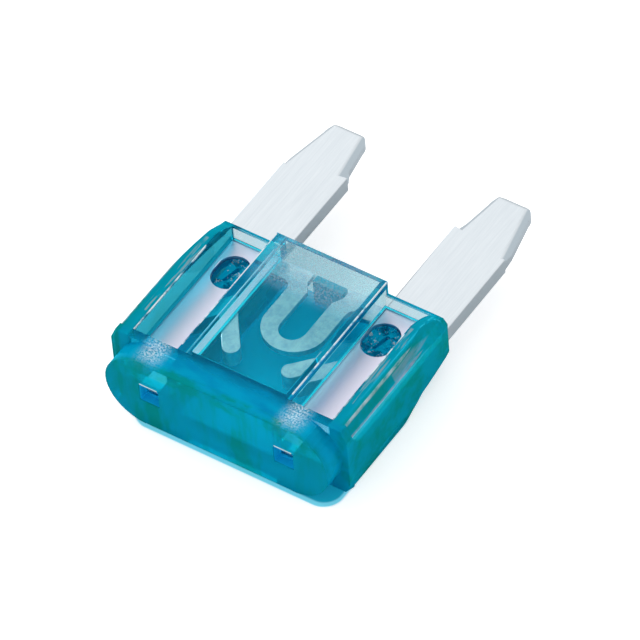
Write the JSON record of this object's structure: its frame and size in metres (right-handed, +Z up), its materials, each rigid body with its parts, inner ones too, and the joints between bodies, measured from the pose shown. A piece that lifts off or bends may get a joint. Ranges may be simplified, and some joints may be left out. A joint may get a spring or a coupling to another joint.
{
  "type": "automotive blade fuse",
  "caption": "Automotive blade fuse of the mini size: see-through teal-blue plastic housing over a zinc element with flat plug-in blades and a U-shaped fuse link.",
  "frame": {"origin": "below the middle of the bounding box, on the surface that the back of the housing lies on", "axes": "+Z up out of the front with the windows, +Y along the blades towards their tips, +X across the two blades"},
  "size_m": [0.0116, 0.0164, 0.0037],
  "materials": {
    "housing_plastic": "see-through teal-blue moulded plastic, glossy outside, frosted inside the cap",
    "zinc": "bare rolled zinc alloy with a fine lengthwise grain"
  },
  "bodies": {
    "root": {"housing": "housing_plastic", "fuse_element": "zinc"}
  },
  "joints": []
}
